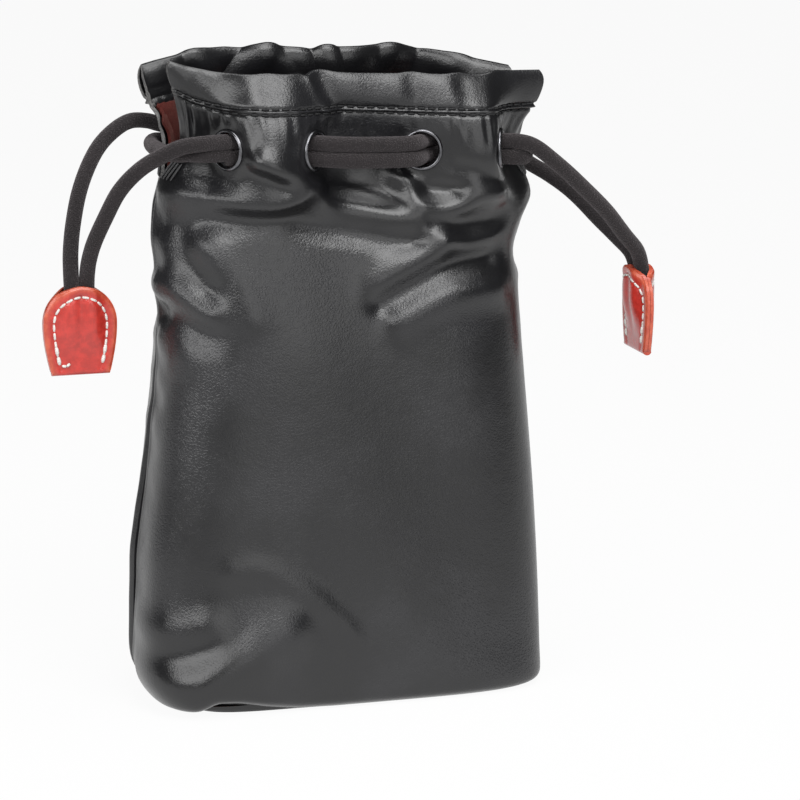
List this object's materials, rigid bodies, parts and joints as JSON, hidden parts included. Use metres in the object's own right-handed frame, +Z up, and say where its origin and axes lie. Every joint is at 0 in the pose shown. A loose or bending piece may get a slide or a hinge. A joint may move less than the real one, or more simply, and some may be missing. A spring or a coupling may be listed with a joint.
{
  "type": "lens pouch",
  "caption": "Standing drawstring pouch of black leather with a suede lining, an eyeletted mouth with slit sides that cords draw shut, and red leather pull tabs.",
  "frame": {"origin": "middle of the base, on the surface that the pouch stands on", "axes": "+Z up through the mouth, -Y towards the front, X along the width"},
  "size_m": [0.2017, 0.068, 0.203],
  "materials": {
    "black_leather": "glossy grained",
    "red_suede": "brushed",
    "gunmetal": "dark plated",
    "dark_cord": "woven",
    "red_leather": "semi-gloss"
  },
  "bodies": {
    "pouch": {"front_panel": "black_leather", "back_panel": "black_leather", "base_panel": "black_leather", "front_lining": "red_suede", "back_lining": "red_suede", "base_lining": "red_suede", "left_cord_wrap": "dark_cord", "right_cord_wrap": "dark_cord"},
    "front_flap": {"front_flap": "black_leather", "front_flap_lining": "red_suede", "front_eyelet_1": "gunmetal", "front_eyelet_2": "gunmetal", "front_eyelet_3": "gunmetal", "front_eyelet_4": "gunmetal", "front_washer_1": "gunmetal", "front_washer_2": "gunmetal", "front_washer_3": "gunmetal", "front_washer_4": "gunmetal", "left_cord_front_run": "dark_cord", "right_cord_front_run": "dark_cord"},
    "back_flap": {"back_flap": "black_leather", "back_flap_lining": "red_suede", "back_eyelet_1": "gunmetal", "back_eyelet_2": "gunmetal", "back_eyelet_3": "gunmetal", "back_eyelet_4": "gunmetal", "back_washer_1": "gunmetal", "back_washer_2": "gunmetal", "back_washer_3": "gunmetal", "back_washer_4": "gunmetal", "left_cord_back_run": "dark_cord", "right_cord_back_run": "dark_cord"},
    "left_tail": {"left_cord_front_tail": "dark_cord", "left_cord_back_tail": "dark_cord"},
    "left_tab": {"left_tab": "red_leather"},
    "right_tail": {"right_cord_front_tail": "dark_cord", "right_cord_back_tail": "dark_cord"},
    "right_tab": {"right_tab": "red_leather"}
  },
  "joints": [
    {"name": "left_cord_draw", "type": "slide", "parent": "pouch", "child": "left_tail", "axis": [-1, 0, 0], "range_m": [0, 0.03], "deforming": ["left_cord_front_tail", "left_cord_back_tail", "left_cord_wrap"]},
    {"name": "right_cord_draw", "type": "slide", "parent": "pouch", "child": "right_tail", "axis": [1, 0, 0], "range_m": [0, 0.03], "deforming": ["right_cord_front_tail", "right_cord_back_tail", "right_cord_wrap"]},
    {"name": "front_flap_close", "type": "hinge", "parent": "pouch", "child": "front_flap", "pos_m": [0, -0.0145, 0.164], "axis": [-1, 0, 0], "range_deg": [0, 18]},
    {"name": "back_flap_close", "type": "hinge", "parent": "pouch", "child": "back_flap", "pos_m": [0, 0.0145, 0.164], "axis": [1, 0, 0], "range_deg": [0, 18]},
    {"name": "left_tab_swing", "type": "hinge", "parent": "left_tail", "child": "left_tab", "pos_m": [-0.0845, 0, 0.1345], "axis": [1, 0, 0], "range_deg": [-40, 40]},
    {"name": "right_tab_swing", "type": "hinge", "parent": "right_tail", "child": "right_tab", "pos_m": [0.1015, 0, 0.1315], "axis": [0, 1, 0], "range_deg": [-40, 40]}
  ],
  "couplings": [
    {"joint": "right_cord_draw", "follows": "left_cord_draw", "ratio": 1},
    {"joint": "front_flap_close", "follows": "left_cord_draw", "rad_per_m": 10.47},
    {"joint": "back_flap_close", "follows": "left_cord_draw", "rad_per_m": 10.47}
  ]
}
